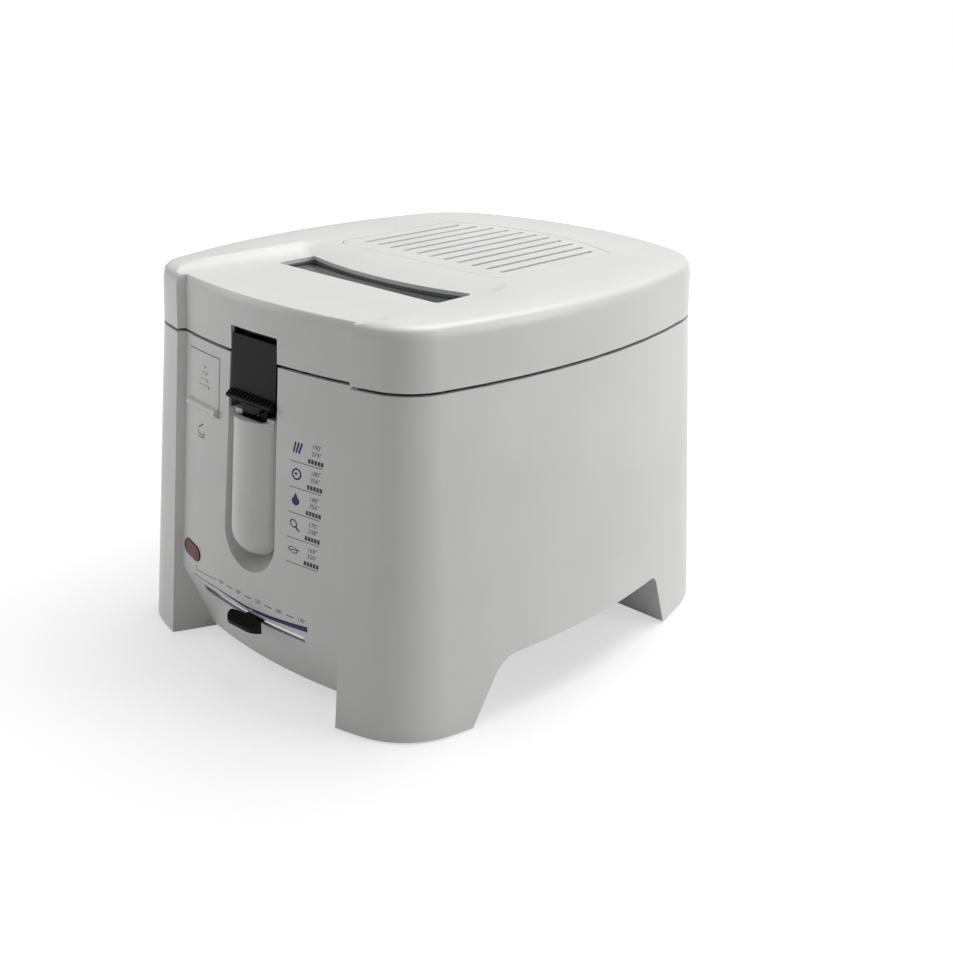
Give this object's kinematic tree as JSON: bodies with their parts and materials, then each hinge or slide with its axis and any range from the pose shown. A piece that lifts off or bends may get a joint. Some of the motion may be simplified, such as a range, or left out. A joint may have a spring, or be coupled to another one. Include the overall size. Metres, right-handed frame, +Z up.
{
  "type": "deep fryer",
  "caption": "Compact electric deep fryer with a scooped viewing lid, fold-down basket handle, lid-open button and slide thermostat under the front panel.",
  "frame": {"origin": "floor level at the centre of the body's plan at the parting line", "axes": "+Z up, -Y is the front with the handle, +X is the user's right"},
  "size_m": [0.2984, 0.3641, 0.244],
  "materials": {
    "white_shell": "white moulded polypropylene, semi-gloss",
    "liner_plastic": "light grey moulded plastic",
    "base_plastic": "dark grey moulded base",
    "black_plastic": "black moulded nylon",
    "rubber": "black or grey silicone rubber",
    "steel": "plain steel",
    "chromed_wire": "chromed steel wire",
    "coated_bowl": "dark non-stick coating",
    "element_sheath": "oxidised element sheath",
    "copper": "copper capillary",
    "ceramic": "pale ceramic and phenolic",
    "wire_sleeve": "sleeved wire",
    "red_lens": "translucent red",
    "neon_glass": "clear neon lamp",
    "window_glass": "clear pane",
    "filter_felt": "felt pad"
  },
  "bodies": {
    "housing": {"body_shell": "white_shell", "base_plate": "base_plastic", "base_screws": "steel", "foot_pads": "rubber", "oil_bowl": "coated_bowl", "heat_shield": "steel", "heating_element": "element_sheath", "element_clamp": "steel", "element_nuts": "steel", "thermostat_body": "ceramic", "thermostat_sensor": "copper", "thermal_cutout": "ceramic", "terminal_block": "liner_plastic", "wiring": "wire_sleeve", "cord_grommet": "rubber", "indicator_lens": "red_lens", "indicator_lamp": "neon_glass", "hinge_bracket": "steel", "hinge_screws": "steel", "hinge_pin": "steel", "lid_spring": "steel", "button_spring": "steel", "latch_pin": "steel"},
    "lid": {"lid_shell": "white_shell", "lid_liner": "liner_plastic", "liner_screws": "steel", "lid_gasket": "rubber", "window_pane": "window_glass", "window_seal": "rubber", "filter_cover": "white_shell", "filter_pad": "filter_felt"},
    "lid_button": {"lid_button": "white_shell"},
    "latch": {"latch_hook": "white_shell"},
    "basket": {"basket_mesh": "chromed_wire", "basket_frame": "chromed_wire", "handle_bracket": "chromed_wire", "handle_pin": "steel"},
    "handle": {"handle_core": "black_plastic", "handle_grip": "white_shell", "grip_screws": "steel", "slider_spring": "steel"},
    "handle_slider": {"handle_slider": "black_plastic"},
    "thermostat_slider": {"thermostat_shaft": "steel", "thermostat_lever": "steel", "thermostat_knob": "black_plastic"}
  },
  "joints": [
    {"name": "lid_hinge", "type": "hinge", "parent": "housing", "child": "lid", "pos_m": [0, 0.164, 0.206], "axis": [-1, 0, 0], "range_deg": [0, 85]},
    {"name": "button_press", "type": "slide", "parent": "housing", "child": "lid_button", "axis": [0, 0.9962, -0.087], "range_m": [0, 0.0035], "stiffness_N_per_m": 600, "deforming": ["button_spring"]},
    {"name": "latch_rock", "type": "hinge", "parent": "housing", "child": "latch", "pos_m": [-0.05, -0.132, 0.16], "axis": [-1, 0, 0], "range_deg": [0, 9.8]},
    {"name": "basket_lift", "type": "slide", "parent": "housing", "child": "basket", "axis": [0, 0, 1], "range_m": [0, 0.016]},
    {"name": "handle_swing", "type": "hinge", "parent": "basket", "child": "handle", "pos_m": [0, -0.14726, 0.1911], "axis": [-1, 0, 0], "range_deg": [0, 85]},
    {"name": "slider_slide", "type": "slide", "parent": "handle", "child": "handle_slider", "axis": [0, -0.087, -0.9962], "range_m": [0, 0.003], "stiffness_N_per_m": 300, "deforming": ["slider_spring"]},
    {"name": "thermostat_set", "type": "hinge", "parent": "housing", "child": "thermostat_slider", "pos_m": [0, -0.002, 0.0486], "axis": [0, 0, 1], "range_deg": [-14.4, 10.6]}
  ],
  "couplings": [
    {"joint": "latch_rock", "follows": "button_press", "rad_per_m": 48.869},
    {"joint": "basket_lift", "follows": "handle_swing", "m_per_rad": 0.010785}
  ]
}
